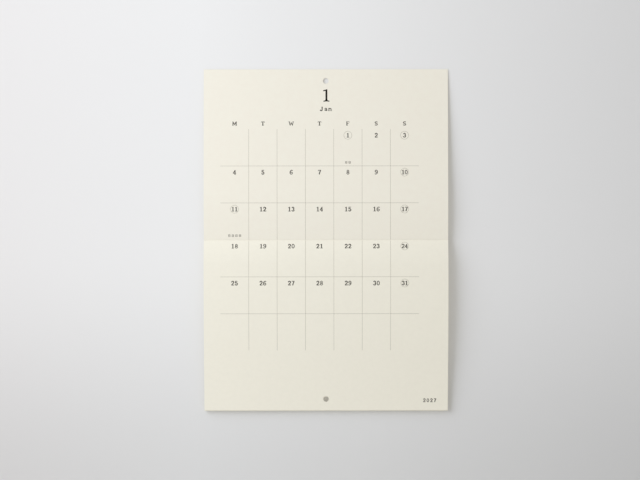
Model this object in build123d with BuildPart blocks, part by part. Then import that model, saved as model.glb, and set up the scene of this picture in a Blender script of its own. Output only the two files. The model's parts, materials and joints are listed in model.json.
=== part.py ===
from build123d import *
from math import sqrt
import os

# A wall calendar: folded sheets stapled through one horizontal fold, hung open at its
# first spread. The front cover leaf stands above the fold and hangs on its hole. Every
# other leaf hangs below the fold as one block.
# Millimetres. +X is right, +Y runs to the wall, +Z is up, and the origin is the middle
# of the hanging hole.

# Paper: each half of an open sheet is one landscape page
sheet_width = 300.0
page_height = 210.0
inner_sheets = 6
leaf_thickness = 0.18
cover_thickness = 0.25

# Punched holes, on the centre line of both halves
hole_diameter = 7.0
hole_from_edge = 14.2

# Side view of the upper leaf's front face: straight from its top edge to the bend, then
# one arc down to the fold. Each "out" is a distance from the wall.
top_edge_out = 0.3
upper_bend_height = 60.0
upper_bend_out = 8.7
fold_out = 7.3

# Side view of the block's front face: a tight arc from the fold to the shoulder, a wide
# one to the bend, then straight to the bottom edge
shoulder_depth = 32.0
shoulder_out = 13.75
lower_bend_depth = 140.0
lower_bend_out = 11.0
bottom_edge_out = 5.0

# The folds of the sheets make a rounded spine on top of the block
spine_bulge = 0.5
fold_clearance = 0.15

# Wire staples through the fold
staple_wire = 0.6
staple_crown = 12.0
staple_tip_gap = 3.0
staple_bend = 0.45
staple_spacing = 150.0
staple_clearance = 0.03

# Print: a ruled month grid, thin rings round the rest days and a large month numeral
ink_thickness = 0.05
fold_margin = 1.0
ruling_width = 0.3
cell_width = 34.8
cell_height = 45.3
grid_shift = -7.8
grid_lift = 0.7
columns = 7
rows_on_each_half = 3
first_weekday = 4
ringed_days = (1, 3, 10, 11, 17, 24, 31)
ring_diameter = 10.1
ring_drop = 7.7
numeral_from_edge = 32.2
numeral_shift = 0.8
numeral_height = 15.6
numeral_stem = 2.1
numeral_foot_width = 7.8
numeral_foot_height = 1.3
numeral_flag_reach = 3.4
numeral_flag_drop = 1.5

# Worked out from the sizes above
pages_thickness = 2 * inner_sheets * leaf_thickness
hole_height = page_height - hole_from_edge
wire_radius = staple_wire / 2
leaf_lift = spine_bulge / 2 + cover_thickness + fold_clearance
lean = (upper_bend_out - top_edge_out) / (page_height - upper_bend_height)
hole_out = top_edge_out + lean * hole_from_edge
origin_out = hole_out - cover_thickness / 2 * sqrt(1 + lean**2)


def at(out, height):
    """A point of the side view, from its distance off the wall and height above the fold."""
    return Vector(origin_out - out, height - hole_height)


# Each face line runs from the fold to the free edge, and is tangent all along
fold_point = at(fold_out, 0)
upper_bend = at(upper_bend_out, upper_bend_height)
top_edge = at(top_edge_out, page_height)
shoulder = at(shoulder_out, -shoulder_depth)
lower_bend = at(lower_bend_out, -lower_bend_depth)
bottom_edge = at(bottom_edge_out, -page_height)


def arc_meeting(start, end, end_direction):
    """An arc between two points that ends in a given direction."""
    turned = TangentArc(end, start, tangent=end_direction * -1)
    return ThreePointArc(start, turned @ 0.5, end)


upper_arc = arc_meeting(fold_point, upper_bend, top_edge - upper_bend)
wide_arc = arc_meeting(shoulder, lower_bend, bottom_edge - lower_bend)
tight_arc = arc_meeting(fold_point, shoulder, wide_arc % 0)
upper_face = [upper_arc, Line(upper_bend, top_edge)]
lower_face = [tight_arc, wide_arc, Line(lower_bend, bottom_edge)]


def into(edge, place, depth):
    """A place along an edge of a face line, moved squarely into the paper."""
    along = edge % place
    to_wall = Vector(abs(along.Y), -along.X if along.Y > 0 else along.X)
    return (edge @ place) + to_wall * depth


def paper_layer(face, near, far, start=0.0):
    """The side view of a layer of paper between two depths behind a face line."""
    with BuildSketch() as layer:
        with BuildLine():
            for depth in (near, far):
                for number, edge in enumerate(face):
                    first = start if number == 0 else 0
                    places = [into(edge, place, depth) for place in (first, (first + 1) / 2, 1)]
                    if edge.geom_type == GeomType.LINE:
                        Line(places[0], places[2])
                    else:
                        ThreePointArc(*places)
            Line(into(face[0], start, near), into(face[0], start, far))
            Line(into(face[-1], 1, near), into(face[-1], 1, far))
        make_face()
    return layer.sketch


# Side view of the spine. Its front corner is the bottom of the fold that shows.
spine_front = fold_point
spine_rear = into(tight_arc, 0, pages_thickness)
spine_up = (tight_arc % 0) * -1
spine_top = (spine_front + spine_rear) * 0.5 + spine_up * spine_bulge
spine_arc = ThreePointArc(spine_front, spine_top, spine_rear)


def over_spine(place, height):
    """A point above the spine, at a place from 0 at its front to 1 at its rear."""
    along = spine_arc % place
    return (spine_arc @ place) + Vector(-along.Y, along.X) * height


# Side view of the leaves below the fold
with BuildSketch() as block_side:
    add(paper_layer(lower_face, 0, pages_thickness))
    with BuildLine():
        ThreePointArc(spine_front, spine_top, spine_rear)
        Line(spine_rear, spine_front)
    make_face()

# Side view of the back cover, which runs up the block and over the spine, and ends under
# the upper leaf
wrap_end = cover_thickness / pages_thickness
wrap_middle = (1 + wrap_end) / 2
turn_start = over_spine(1, cover_thickness)
turn_end = into(tight_arc, 0, pages_thickness + cover_thickness)
turn_outward = ((turn_start + turn_end) * 0.5 - spine_rear).normalized()
turn_middle = spine_rear + turn_outward * cover_thickness
wrap_top = over_spine(wrap_middle, cover_thickness)
wrap_front = over_spine(wrap_end, cover_thickness)
with BuildSketch() as back_cover_side:
    add(paper_layer(lower_face, pages_thickness, pages_thickness + cover_thickness))
    with BuildLine():
        Line(spine_rear, turn_end)
        ThreePointArc(turn_end, turn_middle, turn_start)
        ThreePointArc(turn_start, wrap_top, wrap_front)
        Line(wrap_front, over_spine(wrap_end, 0))
        ThreePointArc(over_spine(wrap_end, 0), over_spine(wrap_middle, 0), spine_rear)
    make_face()

# Staples: the crown lies over the spine, the legs go through it, and the tips are turned
# in between the middle pages
crown_height = cover_thickness + wire_radius
clinch_height = -inner_sheets * leaf_thickness - wire_radius
leg_place = staple_crown / 2 - wire_radius
tip_place = staple_tip_gap / 2
staple_places = {"left": -staple_spacing / 2, "right": staple_spacing / 2}


def bent_wire(middle, points, bends, radius):
    """Round wire in the plane of a staple, with heights above the top of the spine."""
    staple_plane = Plane(
        origin=(middle, spine_top.X, spine_top.Y),
        x_dir=(1, 0, 0),
        z_dir=(0, -spine_up.Y, spine_up.X),
    )
    with BuildPart() as wire:
        with BuildLine(staple_plane) as wire_path:
            FilletPolyline(*points, radius=bends)
        with BuildSketch(wire_path.line ^ 0):
            Circle(radius)
        sweep(transition=Transition.RIGHT)
    return wire


staples = {}
channels = []
for side, middle in staple_places.items():
    staple_points = [
        (-tip_place, clinch_height),
        (-leg_place, clinch_height),
        (-leg_place, crown_height),
        (leg_place, crown_height),
        (leg_place, clinch_height),
        (tip_place, clinch_height),
    ]
    staples[side] = bent_wire(middle, staple_points, [0, staple_bend, staple_bend, 0], wire_radius)
    for leg_points in (staple_points[:3], staple_points[:2:-1]):
        channels.append(bent_wire(middle, leg_points, [0], wire_radius + staple_clearance))

# The leaf that stands above the fold and hangs on the wall
with BuildPart() as front_cover:
    with BuildSketch(Plane.YZ):
        add(paper_layer(upper_face, 0, cover_thickness, leaf_lift / upper_arc.length))
    extrude(amount=sheet_width / 2, both=True)
    with Locations(Plane.XZ):
        Hole(hole_diameter / 2)

# The leaves below the fold, shut together as they hang
with BuildPart() as page_block:
    with BuildSketch(Plane.YZ):
        add(block_side.sketch)
    extrude(amount=sheet_width / 2, both=True)
    with BuildSketch(Plane.XZ):
        with Locations((0, -2 * hole_height)):
            Circle(hole_diameter / 2)
    extrude(amount=2 * shoulder_out, both=True, mode=Mode.SUBTRACT)
    for channel in channels:
        add(channel.part, mode=Mode.SUBTRACT)

with BuildPart() as back_cover:
    with BuildSketch(Plane.YZ):
        add(back_cover_side.sketch)
    extrude(amount=sheet_width / 2, both=True)
    with BuildSketch(Plane.XZ):
        with Locations((0, -2 * hole_height)):
            Circle(hole_diameter / 2)
    extrude(amount=2 * shoulder_out, both=True, mode=Mode.SUBTRACT)
    for channel in channels:
        add(channel.part, mode=Mode.SUBTRACT)

# Print: each half of the grid is ruled down to the fold, without a frame round it. Its
# level lines stand a little higher than whole cells from the fold.
grid_height = rows_on_each_half * cell_height
ring_places = {"upper": [], "lower": []}
for day in ringed_days:
    cell = first_weekday + day - 1
    column = cell % columns
    row_top = (rows_on_each_half - cell // columns) * cell_height
    half = "upper" if row_top > 0 else "lower"
    ring_x = grid_shift + (column - (columns - 1) / 2) * cell_width
    ring_places[half].append((ring_x, row_top + grid_lift - ring_drop - hole_height))

numeral_middle = hole_from_edge - numeral_from_edge
numeral_top = numeral_middle + numeral_height / 2
stem_left = numeral_shift - numeral_stem / 2
stem_right = numeral_shift + numeral_stem / 2
flag_end = numeral_shift - numeral_flag_reach
flag_top = numeral_top - numeral_flag_drop
with BuildSketch() as numeral_face:
    with Locations((numeral_shift, numeral_middle)):
        Rectangle(numeral_stem, numeral_height)
    with Locations((numeral_shift, numeral_top - numeral_height + numeral_foot_height / 2)):
        Rectangle(numeral_foot_width, numeral_foot_height)
    with BuildLine():
        Polyline(
            (stem_right, numeral_top),
            (stem_left, numeral_top),
            (flag_end, flag_top),
            (flag_end, flag_top - numeral_foot_height),
            (stem_right, flag_top - numeral_foot_height / 2),
            close=True,
        )
    make_face()


def printed_on(face, artwork):
    """Ink with the outlines of a drawing, lying on a face of the paper."""
    with BuildPart() as ink:
        with BuildSketch(Plane.YZ):
            add(paper_layer(face, -ink_thickness, 0, fold_margin / face[0].length))
        extrude(amount=sheet_width / 2, both=True)
        with BuildSketch(Plane.XZ):
            add(artwork)
        extrude(amount=2 * shoulder_out, both=True, mode=Mode.INTERSECT)
    return ink


printed = {"month_numeral": printed_on(upper_face, numeral_face.sketch)}
for half, face, side in (("upper", upper_face, 1), ("lower", lower_face, -1)):
    with BuildSketch() as ruling:
        with Locations((grid_shift, side * grid_height / 2 + grid_lift - hole_height)):
            with GridLocations(cell_width, 0, columns - 1, 1):
                Rectangle(ruling_width, grid_height)
            with GridLocations(0, cell_height, 1, rows_on_each_half - 1):
                Rectangle(columns * cell_width, ruling_width)
    with BuildSketch() as rings:
        with Locations(*ring_places[half]):
            Circle(ring_diameter / 2)
            Circle(ring_diameter / 2 - ruling_width, mode=Mode.SUBTRACT)
    printed["month_grid_" + half] = printed_on(face, ruling.sketch)
    printed["day_rings_" + half] = printed_on(face, rings.sketch)

# Finished pieces
pieces = {
    "front_cover": front_cover.part,
    "page_block": page_block.part,
    "back_cover": back_cover.part,
}
for side, staple in staples.items():
    pieces["staple_" + side] = staple.part
for name, ink in printed.items():
    pieces[name] = ink.part

os.makedirs("parts", exist_ok=True)
for name, piece in pieces.items():
    piece.label = name
    export_step(piece, "parts/" + name + ".step")
print("fold axis at Y", round(fold_point.X, 4), "Z", round(fold_point.Y, 4))
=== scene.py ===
# %% [markdown]
# # A wall calendar, stapled and hung open
# Folded sheets are stapled through one fold and hung open on a wall. The cover leaf stands
# above the fold and hangs on its punched hole, and every other leaf hangs below it. The
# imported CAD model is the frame: it gives the bodies that move, and the places that all
# the pieces here have to keep. Lengths are written in millimetres, as a printer would
# give them, and times one named value they are the metres that Blender works in.

# %% Load the frame
import json
from math import cos, pi, radians, sin, sqrt

import bpy
import numpy as np
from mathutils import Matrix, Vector
from mathutils.geometry import delaunay_2d_cdt

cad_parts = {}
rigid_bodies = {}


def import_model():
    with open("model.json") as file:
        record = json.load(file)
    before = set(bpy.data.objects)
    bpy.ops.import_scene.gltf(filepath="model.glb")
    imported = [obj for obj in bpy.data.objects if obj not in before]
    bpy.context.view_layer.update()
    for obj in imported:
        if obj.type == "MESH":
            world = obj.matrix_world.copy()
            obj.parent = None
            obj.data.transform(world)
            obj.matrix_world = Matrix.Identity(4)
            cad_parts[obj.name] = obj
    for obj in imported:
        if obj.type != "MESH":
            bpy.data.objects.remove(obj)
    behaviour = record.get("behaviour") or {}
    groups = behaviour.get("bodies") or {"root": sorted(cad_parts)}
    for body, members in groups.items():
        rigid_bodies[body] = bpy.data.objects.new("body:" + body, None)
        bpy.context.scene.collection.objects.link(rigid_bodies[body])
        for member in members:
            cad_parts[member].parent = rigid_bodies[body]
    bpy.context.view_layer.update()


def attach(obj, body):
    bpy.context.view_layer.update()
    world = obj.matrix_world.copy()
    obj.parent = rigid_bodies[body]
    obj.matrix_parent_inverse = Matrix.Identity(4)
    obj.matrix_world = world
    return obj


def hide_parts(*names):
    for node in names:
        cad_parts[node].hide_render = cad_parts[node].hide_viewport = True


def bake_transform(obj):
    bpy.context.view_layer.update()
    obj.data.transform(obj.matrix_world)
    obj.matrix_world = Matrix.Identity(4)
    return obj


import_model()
millimetre = 0.001

# %% [markdown]
# ## The paper, seen from the side
# Paper bends one way at a time, so a side view says all about its shape. The upper leaf is
# straight from its top edge to a bend and then one arc down to the fold. The block below
# stands off the wall in a tight arc, then a wide one, then hangs straight. Each line is
# kept as points with the length of paper that leads to them, so anything that is drawn
# flat can be laid on it without stretching. Distances off the wall are called out, and
# heights are taken from the fold.

# %% Sizes of the sheets and of their bow
sheet_width = 300.0
page_height = 210.0
inner_sheets = 6
leaf_thickness = 0.18
cover_thickness = 0.25
hole_radius = 3.5
hole_from_edge = 14.2

top_edge_out = 0.3
upper_bend_height, upper_bend_out = 60.0, 8.7
fold_out = 7.3
shoulder_height, shoulder_out = -32.0, 13.75
lower_bend_height, lower_bend_out = -140.0, 11.0
bottom_edge_out = 5.0
rear_tail = 6.0

pages_thickness = 2 * inner_sheets * leaf_thickness
spine_bulge = 0.5
lean = (upper_bend_out - top_edge_out) / (page_height - upper_bend_height)
fold_height = hole_from_edge - page_height
wall_at = top_edge_out + lean * hole_from_edge - cover_thickness / 2 * sqrt(1 + lean**2)
print("the wall is", round(wall_at, 2), "mm behind the middle of the hanging hole")

# %% [markdown]
# The side view is drawn from arcs and straight lines. Bent paper has no corners, so each
# arc ends in the very direction in which the next line starts. An arc is fixed by its two
# ends and that direction, which leaves only one radius that fits.

# %% Arcs and straight lines of the side view
def seen_from_side(out, height):
    """A distance off the wall and a height above the fold, as the frame's Y and Z."""
    return np.array([wall_at - out, height + fold_height])


def unit(vector):
    return vector / np.linalg.norm(vector)


def round_arc(centre, start, end, steps):
    """Points on an arc about a centre, from one point to another."""
    first, last = start - centre, end - centre
    turned = np.arctan2(first[0] * last[1] - first[1] * last[0], first @ last)
    angles = np.linspace(0, turned, steps + 1)[:, None]
    across = np.array([-first[1], first[0]])
    return centre + np.cos(angles) * first + np.sin(angles) * across


def tangent_arc(start, end, end_direction, steps):
    """Points on the arc between two points that ends in a given direction."""
    end_direction = unit(end_direction)
    square = np.array([-end_direction[1], end_direction[0]])
    chord = start - end
    radius = chord @ chord / (2 * chord @ square)
    return round_arc(end + radius * square, start, end, steps)


def straight(start, end, steps):
    return start + np.linspace(0, 1, steps + 1)[:, None] * (end - start)


fold = seen_from_side(fold_out, 0)
upper_bend = seen_from_side(upper_bend_out, upper_bend_height)
top_edge = seen_from_side(top_edge_out, page_height)
shoulder = seen_from_side(shoulder_out, shoulder_height)
lower_bend = seen_from_side(lower_bend_out, lower_bend_height)
bottom_edge = seen_from_side(bottom_edge_out, -page_height)

rise = tangent_arc(fold, upper_bend, top_edge - upper_bend, steps=16)
upper_points = np.vstack([rise, straight(upper_bend, top_edge, steps=38)[1:]])
wide = tangent_arc(shoulder, lower_bend, bottom_edge - lower_bend, steps=28)
tight = tangent_arc(fold, shoulder, wide[1] - wide[0], steps=10)
hang = straight(lower_bend, bottom_edge, steps=18)
hang_way = unit(bottom_edge - lower_bend)
lower_points = np.vstack([tight, wide[1:], hang[1:], bottom_edge + hang_way * rear_tail])
print("side view has", len(upper_points), "points above the fold,", len(lower_points), "below")

# %% [markdown]
# The block's line runs on past its bottom edge for a few millimetres, because the rear
# leaves hang lower than the front one. The page itself ends one point before that.

# %% From heights to lengths of paper
def lengths_along(points):
    """How much paper leads from the first point of a side view to each of the others."""
    steps = np.linalg.norm(np.diff(points, axis=0), axis=1)
    return np.concatenate([[0], np.cumsum(steps)])


upper_lengths = lengths_along(upper_points)
lower_lengths = lengths_along(lower_points)
lower_length = lower_lengths[-2]
along_heights = np.concatenate([lower_points[::-1, 1], upper_points[1:, 1]]) - fold_height
along_lengths = np.concatenate([-lower_lengths[::-1], upper_lengths[1:]])


def on_paper(height):
    """A height above the fold as a length of paper up from it, or, negative, down."""
    return float(np.interp(height, along_heights, along_lengths))


print("paper up", round(upper_lengths[-1], 2), "mm, paper down", round(lower_length, 2), "mm")

# %% [markdown]
# ## Flat shapes first
# Paper is cut flat and ink is printed flat, so every piece starts as a flat drawing. The
# drawing's outlines may overlap, as pen strokes do. A constrained triangulation finds the
# area that they cover together, and rows are ruled across it wherever the paper will bend.
# The area then gets a thin underside and side walls, so each piece is a closed solid.

# %% From outlines to thin flat solids
whole_hull, nearness = 0, 1e-5


def covered(shapes, holes=(), rows=(), columns=()):
    """Corners and triangles of the area that the shapes cover together, less the holes.
    Outlines are turned anticlockwise, because the triangulation fills what is on their left."""
    corners, edges, faces = [], [], []
    for shape in [*shapes, *holes]:
        x, y = np.transpose(shape)
        if x @ np.roll(y, -1) < y @ np.roll(x, -1):
            shape = shape[::-1]
        faces.append(list(range(len(corners), len(corners) + len(shape))))
        corners += [Vector(point) for point in shape]
    low, high = np.min(corners, axis=0) - 1, np.max(corners, axis=0) + 1
    cuts = [((low[0], row), (high[0], row)) for row in rows if low[1] < row < high[1]]
    cuts += [((column, low[1]), (column, high[1])) for column in columns]
    for ends in cuts:
        edges.append((len(corners), len(corners) + 1))
        corners += [Vector(end) for end in ends]
    found, _, triangles, _, _, parents = delaunay_2d_cdt(
        corners, edges, faces, whole_hull, nearness
    )
    inside = [
        tuple(triangle)
        for triangle, within in zip(triangles, parents)
        if within and all(parent < len(shapes) for parent in within)
    ]
    used = sorted({corner for triangle in inside for corner in triangle})
    renumbered = {corner: number for number, corner in enumerate(used)}
    points = [tuple(found[corner]) for corner in used]
    return points, [tuple(renumbered[c] for c in triangle) for triangle in inside]


def new_mesh(name, corners, edges=(), faces=()):
    """A mesh whose corners are given in millimetres."""
    mesh = bpy.data.meshes.new(name)
    mesh.from_pydata([tuple(v * millimetre for v in c) for c in corners], edges, faces)
    return mesh


def thin_solid(name, points, triangles, under, over):
    """A closed flat solid between two heights. Its side walls are marked as cut."""
    count = len(points)
    corners = [(x, y, over) for x, y in points] + [(x, y, under) for x, y in points]
    faces = list(triangles) + [tuple(c + count for c in t[::-1]) for t in triangles]
    directed = {(t[i], t[(i + 1) % 3]) for t in triangles for i in range(3)}
    rim = sorted((a, b) for a, b in directed if (b, a) not in directed)
    faces += [(b, a, a + count, b + count) for a, b in rim]
    mesh = new_mesh(name, corners, faces=faces)
    cut = mesh.attributes.new("cut", "BOOLEAN", "FACE")
    cut.data.foreach_set("value", [False] * (2 * len(triangles)) + [True] * len(rim))
    mesh.update()
    return mesh


def circle(x, y, radius, steps=36):
    turns = [2 * pi * step / steps for step in range(steps)]
    return [(x + radius * cos(turn), y + radius * sin(turn)) for turn in turns]


def rectangle(left, right, low, high):
    return [(left, low), (right, low), (right, high), (left, high)]


print("a square is", len(covered([rectangle(0, 1, 0, 1)])[1]), "triangles")

# %% [markdown]
# ## One way to add a node
# Materials and Geometry Nodes trees are built from the same two things: a node with its
# settings, and what goes into its sockets. One small function does both, so the trees
# below read as lists of parts. Where a node is given for a socket, its first output is
# meant, which is the one that most nodes are there for. Colours are written as sRGB hex
# values, and one function turns them into the linear ones that a shader works with.

# %% Node helper, colours and a new material
def add_node(tree, kind, sockets=None, **settings):
    """A node with its settings. Each socket gets a value, or a link from another node."""
    made = tree.nodes.new(kind)
    for setting, value in settings.items():
        setattr(made, setting, value)
    for socket, value in (sockets or {}).items():
        if isinstance(value, bpy.types.Node):
            value = value.outputs[0]
        if isinstance(value, bpy.types.NodeSocket):
            tree.links.new(value, made.inputs[socket])
        else:
            made.inputs[socket].default_value = value
    return made


def linear(hex_colour):
    """An sRGB hex colour as the linear colour that a shader works with."""
    parts = [int(hex_colour[i : i + 2], 16) / 255 for i in (1, 3, 5)]
    return tuple(p / 12.92 if p <= 0.04045 else ((p + 0.055) / 1.055) ** 2.4 for p in parts) + (1,)


def per_millimetres(size):
    """The scale of a pattern on Object coordinates whose parts are this many millimetres wide."""
    return 1 / (size * millimetre)


def new_material(name, **values):
    """A material, its tree and its shader, with values for the shader's sockets."""
    material = bpy.data.materials.new(name)
    material.use_nodes = True
    shader = material.node_tree.nodes["Principled BSDF"]
    for socket, value in values.items():
        shader.inputs[socket.replace("_", " ")].default_value = value
    return material, material.node_tree, shader


print("a pattern of 1 mm has scale", per_millimetres(1))

# %% [markdown]
# ## Paper
# The sheets are uncoated wood-free paper, a warm off-white. It is made of fibres a
# millimetre or two long, pressed together wet, so seen close it has a fine tooth, and the
# fibres lie a little closer in some places than in others. That gives the eye a matt
# surface with very faint clouds. The cover is a heavier board of the same pulp, a touch
# rougher. Cut edges show fibre ends, which look a little darker and warmer. A noise mixes
# two near colours, and a finer one, drawn out along the grain, lifts the tooth. A real
# tooth is finer still: this one is half a millimetre wide, so that a close view shows it.

# %% Paper materials
def fibrous(name, first, second, patch_size, turning, roughness, gloss):
    """A matt material whose colour drifts between two, in patches of a width in millimetres.
    Turning is the range of the noise over which one colour turns into the other."""
    material, tree, shader = new_material(name, Roughness=roughness, Specular_IOR_Level=gloss)
    place = add_node(tree, "ShaderNodeTexCoord").outputs["Object"]
    patches = add_node(
        tree,
        "ShaderNodeTexNoise",
        {"Vector": place, "Scale": per_millimetres(patch_size), "Detail": 3, "Roughness": 0.6},
    )
    share = add_node(
        tree,
        "ShaderNodeMapRange",
        {"Value": patches, "From Min": turning[0], "From Max": turning[1]},
    )
    colours = {"Factor": share, 6: linear(first), 7: linear(second)}
    colour = add_node(tree, "ShaderNodeMix", colours, data_type="RGBA")
    tree.links.new(colour.outputs[2], shader.inputs["Base Color"])
    return material, tree, shader, place


def paper(name, light, dark, cloud_size, tooth_size, tooth_depth, roughness):
    """Matt paper with faint clouds of fibre and a fine tooth. Sizes are in millimetres."""
    turning, along_grain, gloss = (0.3, 0.7), (0.45, 1, 1), 0.25
    material, tree, shader, place = fibrous(
        name, dark, light, cloud_size, turning, roughness, gloss
    )
    grain = add_node(tree, "ShaderNodeMapping", {"Vector": place, "Scale": along_grain})
    fibres = add_node(
        tree,
        "ShaderNodeTexNoise",
        {"Vector": grain, "Scale": per_millimetres(tooth_size), "Detail": 4, "Roughness": 0.65},
    )
    tooth = add_node(
        tree,
        "ShaderNodeBump",
        {"Height": fibres, "Strength": 1.0, "Distance": tooth_depth * millimetre},
    )
    tree.links.new(tooth.outputs["Normal"], shader.inputs["Normal"])
    return material


cover_board = paper("uncoated_cover_board", "#F4F0E2", "#F3EEE0", 7.0, 0.55, 0.07, 0.92)
page_stock = paper("uncoated_page_paper", "#F4F0E1", "#F2EEDF", 5.0, 0.45, 0.055, 0.9)
cut_edge = paper("cut_paper_edge", "#EAE5D3", "#DCD6C2", 0.8, 0.18, 0.02, 0.95)
print("papers", cover_board.name, page_stock.name, cut_edge.name)

# %% [markdown]
# ## Ink
# Offset ink sinks into uncoated paper, so it dries matt and a little uneven: where fibres
# stand up the ink film is thinner and the paper shows through. The big numeral and the
# dates are printed in a soft black. The hairlines and rings are a pale warm grey. The
# paper's own drift between two colours serves for the ink as well, at the fibres' width.

# %% Ink materials
fibre_width, ink_turning, ink_roughness, ink_gloss = 0.5, (0.45, 0.8), 0.85, 0.3
inks = []
for name, full, thin in (
    ("soft_black_offset_ink", "#120D08", "#221A12"),
    ("date_offset_ink", "#1B1610", "#2E2820"),
    ("hairline_grey_offset_ink", "#A29D8F", "#B0AB9C"),
    ("caption_grey_offset_ink", "#55504A", "#68635A"),
):
    ink = fibrous(name, full, thin, fibre_width, ink_turning, ink_roughness, ink_gloss)
    inks.append(ink[0])
soft_black, date_black, hairline_grey, caption_grey = inks
print("inks", [ink.name for ink in inks])

# %% [markdown]
# ## Laying flat work on the bent paper
# A Geometry Nodes group takes a point of the side view by the length of paper that leads
# to it, and says where that point is, which way the paper runs up there, and which way it
# faces. Sample Curve does this exactly, with no stretching, as a real sheet bends. Two
# trees use the group: one for single sheets and printing, one for the folded sheets.

# %% Side views as curves, and the group that reads them
def new_object(name, data):
    """An object in the scene that shows its data."""
    made = bpy.data.objects.new(name, data)
    bpy.context.scene.collection.objects.link(made)
    return made


def side_view_curve(name, points):
    """A line of the side view as a Blender curve in the plane X = 0."""
    data = bpy.data.curves.new(name, "CURVE")
    data.dimensions = "3D"
    spline = data.splines.new("POLY")
    spline.points.add(len(points) - 1)
    for point, (y, z) in zip(spline.points, points):
        point.co = (0, y * millimetre, z * millimetre, 1)
    return new_object(name, data)


def open_tree(name, inputs, outputs=(("Geometry", "Geometry"),)):
    """An empty Geometry Nodes tree. Its inputs and outputs have a name and a kind."""
    tree = bpy.data.node_groups.new(name, "GeometryNodeTree")
    for way, sockets in (("INPUT", inputs), ("OUTPUT", outputs)):
        for title, kind in sockets:
            kind = f"NodeSocket{kind}"
            tree.interface.new_socket(title, in_out=way, socket_type=kind)
    return tree, add_node(tree, "NodeGroupInput").outputs


on_line, given = open_tree(
    "Place on a paper line",
    [("Line", "Object"), ("Length", "Float")],
    [("Point", "Vector"), ("Up", "Vector"), ("Facing", "Vector")],
)
line_info = add_node(on_line, "GeometryNodeObjectInfo", {"Object": given["Line"]})
sampled = add_node(
    on_line,
    "GeometryNodeSampleCurve",
    {"Curves": line_info.outputs["Geometry"], "Length": given["Length"]},
    mode="LENGTH",
    use_all_curves=True,
).outputs
facing = add_node(
    on_line,
    "ShaderNodeVectorMath",
    {0: (1, 0, 0), 1: sampled["Tangent"]},
    operation="CROSS_PRODUCT",
)
add_node(
    on_line,
    "NodeGroupOutput",
    {"Point": sampled["Position"], "Up": sampled["Tangent"], "Facing": facing},
)

halves = {
    "cover": {"Line": side_view_curve("upper_leaf_line", upper_points), "Fold at": 0.0},
    "block": {
        "Line": side_view_curve("block_line", lower_points[::-1]),
        "Fold at": lower_lengths[-1] * millimetre,
    },
}
print("node group", on_line.name, "ready")

# %% [markdown]
# ## One tree for everything flat
# The tree moves each corner of flat work to its place on the bent paper: X stays, Y is the
# length of paper up from the fold, and Z lifts it off the paper. Corners are moved, and
# no face is added, so a drawing keeps the rows that it was ruled with.

# %% Tree that sets flat work on bent paper
def finish_tree(tree, geometry, material, edge_material):
    """Ends a tree: real geometry, its material, and another one on the faces that were cut."""
    real = add_node(tree, "GeometryNodeRealizeInstances", {"Geometry": geometry})
    main = add_node(tree, "GeometryNodeSetMaterial", {"Geometry": real, "Material": material})
    cut = add_node(
        tree, "GeometryNodeInputNamedAttribute", {"Name": "cut"}, data_type="BOOLEAN"
    )
    edges = add_node(
        tree,
        "GeometryNodeSetMaterial",
        {"Geometry": main, "Selection": cut, "Material": edge_material},
    )
    add_node(tree, "NodeGroupOutput", {"Geometry": edges})


def flat_place(tree):
    """The parts X, Y and Z of a corner's place on the flat work."""
    position = add_node(tree, "GeometryNodeInputPosition")
    return add_node(tree, "ShaderNodeSeparateXYZ", {0: position}).outputs


def lay_flat_work(tree, geometry, line, fold_at):
    """Moves flat work onto a paper line. Its Y is the length of paper up from the fold."""
    flat = flat_place(tree)
    length = add_node(tree, "ShaderNodeMath", {0: flat["Y"], 1: fold_at})
    asked = {"Line": line, "Length": length}
    placed = add_node(tree, "GeometryNodeGroup", asked, node_tree=on_line).outputs
    lifted = add_node(
        tree,
        "ShaderNodeVectorMath",
        {0: placed["Facing"], 1: flat["Z"], 2: placed["Point"]},
        operation="MULTIPLY_ADD",
    )
    sideways = add_node(tree, "ShaderNodeCombineXYZ", {"X": flat["X"]})
    moved = add_node(tree, "ShaderNodeVectorMath", {0: lifted, 1: sideways})
    return add_node(tree, "GeometryNodeSetPosition", {"Geometry": geometry, "Position": moved})


line_inputs = [("Line", "Object"), ("Fold at", "Float")]
finish_inputs = [("Material", "Material"), ("Edge material", "Material")]
sheet_tree, given = open_tree(
    "Bend a flat piece", [("Geometry", "Geometry"), *line_inputs, *finish_inputs]
)
laid = lay_flat_work(sheet_tree, given["Geometry"], given["Line"], given["Fold at"])
finish_tree(sheet_tree, laid, given["Material"], given["Edge material"])
print("the tree for flat pieces has", len(sheet_tree.nodes), "nodes")

# %% [markdown]
# A piece gets its tree in a modifier, and what the modifier makes is kept as a plain mesh.
# The tree's inputs are set by identifier, because Blender stores them by that and not by
# name. Paper is shaded smooth along its bends, and only its cut edges stay sharp.

# %% A piece made by a tree
crease_angle = radians(35)


def evaluated_piece(name, mesh, tree, values):
    """An object whose mesh is what a tree makes of a first mesh."""
    piece = new_object(name, mesh)
    modifier = piece.modifiers.new("made", "NODES")
    modifier.node_group = tree
    identifiers = {
        item.name: item.identifier
        for item in tree.interface.items_tree
        if item.item_type == "SOCKET" and item.in_out == "INPUT"
    }
    for title, value in values.items():
        modifier[identifiers[title]] = value
    depsgraph = bpy.context.evaluated_depsgraph_get()
    made = bpy.data.meshes.new_from_object(piece.evaluated_get(depsgraph))
    piece.modifiers.remove(modifier)
    piece.data = made
    made.name = name
    for attribute in ("cut", "sort", "size", "sheet"):
        if attribute in made.attributes:
            made.attributes.remove(made.attributes[attribute])
    made.shade_smooth()
    made.set_sharp_from_angle(angle=crease_angle)
    triangles = sum(len(polygon.vertices) - 2 for polygon in made.polygons)
    print(name, triangles, "triangles")
    return piece


print("edges stay sharp from", round(crease_angle, 3), "radians")

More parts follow.
